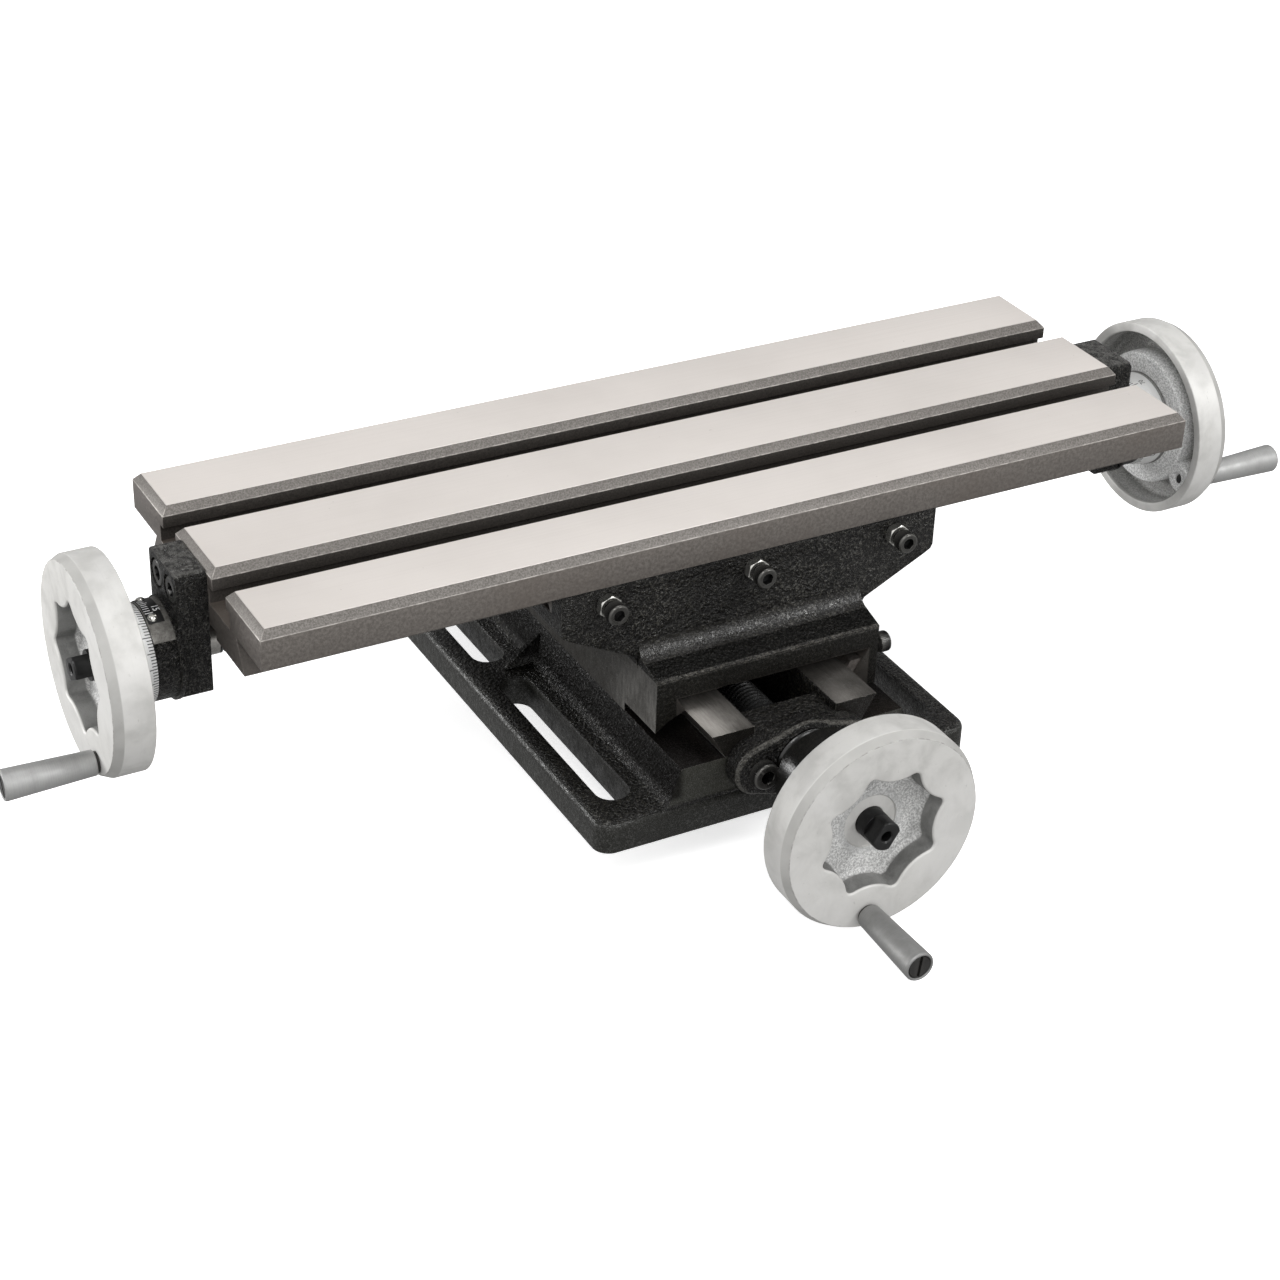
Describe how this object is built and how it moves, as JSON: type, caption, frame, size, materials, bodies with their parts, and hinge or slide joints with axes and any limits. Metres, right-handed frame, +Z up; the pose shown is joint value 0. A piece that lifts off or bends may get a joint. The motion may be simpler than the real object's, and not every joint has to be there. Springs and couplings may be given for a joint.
{
  "type": "cross slide table",
  "caption": "Compound milling table: a slotted table on a saddle and a flanged base, moved on dovetail slides along X and Y by leadscrews with dished handwheels and graduated dials.",
  "frame": {"origin": "centre of the base's bottom face", "axes": "+X along the table and its leadscrew, towards the right handwheel; +Y along the base's rails, away from the front handwheel; +Z up, out of the table's top face"},
  "size_m": [0.6646, 0.3912, 0.1532],
  "materials": {
    "ground_iron": "ground flat, fine grinding marks",
    "black_casting": "black paint on rough casting, ground ways",
    "black_bracket": "black paint, smooth turned drum",
    "turned_aluminium": "turned, sand cast pocket floor",
    "satin_aluminium": "satin",
    "dial_chrome": "satin with engraved lines",
    "screw_steel": "rolled thread, oiled",
    "black_steel": "black oxide",
    "zinc_steel": "zinc plated",
    "bronze": "machined bronze",
    "index_black": "black with white lines",
    "gib_iron": "ground and oiled"
  },
  "bodies": {
    "base": {"base_casting": "black_casting", "cross_screw_bracket": "black_casting", "cross_bracket_screws": "black_steel", "cross_bushing": "bronze", "front_index_plate": "index_black", "front_index_screws": "zinc_steel"},
    "saddle": {"saddle_casting": "black_casting", "cross_gib": "gib_iron", "cross_gib_screws": "black_steel", "cross_gib_locknuts": "zinc_steel", "table_gib": "gib_iron", "table_gib_screws": "black_steel", "table_gib_locknuts": "zinc_steel", "long_screw_nut": "bronze", "long_nut_screws": "black_steel", "cross_screw_nut": "bronze", "cross_nut_screws": "black_steel"},
    "table": {"table_casting": "ground_iron", "left_end_bracket": "black_bracket", "right_end_bracket": "black_bracket", "left_bushing": "bronze", "right_bushing": "bronze", "end_bracket_screws": "black_steel", "left_index_plate": "index_black", "right_index_plate": "index_black", "left_index_screws": "zinc_steel", "right_index_screws": "zinc_steel"},
    "long_screw": {"long_leadscrew": "screw_steel", "leadscrew_thrust_sleeves": "screw_steel", "left_handwheel": "turned_aluminium", "right_handwheel": "turned_aluminium", "left_dial": "dial_chrome", "right_dial": "dial_chrome", "long_wheel_set_screws": "black_steel", "left_handle_spindle": "black_steel", "right_handle_spindle": "black_steel"},
    "cross_screw": {"cross_leadscrew": "screw_steel", "front_handwheel": "turned_aluminium", "front_dial": "dial_chrome", "cross_wheel_set_screws": "black_steel", "front_handle_spindle": "black_steel"},
    "left_grip": {"left_grip": "satin_aluminium"},
    "right_grip": {"right_grip": "satin_aluminium"},
    "front_grip": {"front_grip": "satin_aluminium"}
  },
  "joints": [
    {"name": "saddle_slide", "type": "slide", "parent": "base", "child": "saddle", "axis": [0, 1, 0], "range_m": [-0.052, 0.094]},
    {"name": "table_slide", "type": "slide", "parent": "saddle", "child": "table", "axis": [1, 0, 0], "range_m": [-0.135, 0.135]},
    {"name": "cross_screw_turn", "type": "hinge", "parent": "base", "child": "cross_screw", "pos_m": [0, -0.183, 0.0304], "axis": [0, 1, 0], "range_deg": [-7371, 13324]},
    {"name": "long_screw_turn", "type": "hinge", "parent": "table", "child": "long_screw", "pos_m": [0, -0.021, 0.0848], "axis": [1, 0, 0], "range_deg": [-19135, 19135]},
    {"name": "left_grip_spin", "type": "hinge", "parent": "long_screw", "child": "left_grip", "pos_m": [-0.29, -0.04063, 0.0488], "axis": [-1, 0, 0], "continuous": true},
    {"name": "right_grip_spin", "type": "hinge", "parent": "long_screw", "child": "right_grip", "pos_m": [0.29, -0.0572, 0.06555], "axis": [1, 0, 0], "continuous": true},
    {"name": "front_grip_spin", "type": "hinge", "parent": "cross_screw", "child": "front_grip", "pos_m": [-0.005, -0.212, -0.01029], "axis": [0, -1, 0], "continuous": true}
  ],
  "couplings": [
    {"joint": "cross_screw_turn", "follows": "saddle_slide", "rad_per_m": 2473.7},
    {"joint": "long_screw_turn", "follows": "table_slide", "rad_per_m": 2473.7}
  ]
}
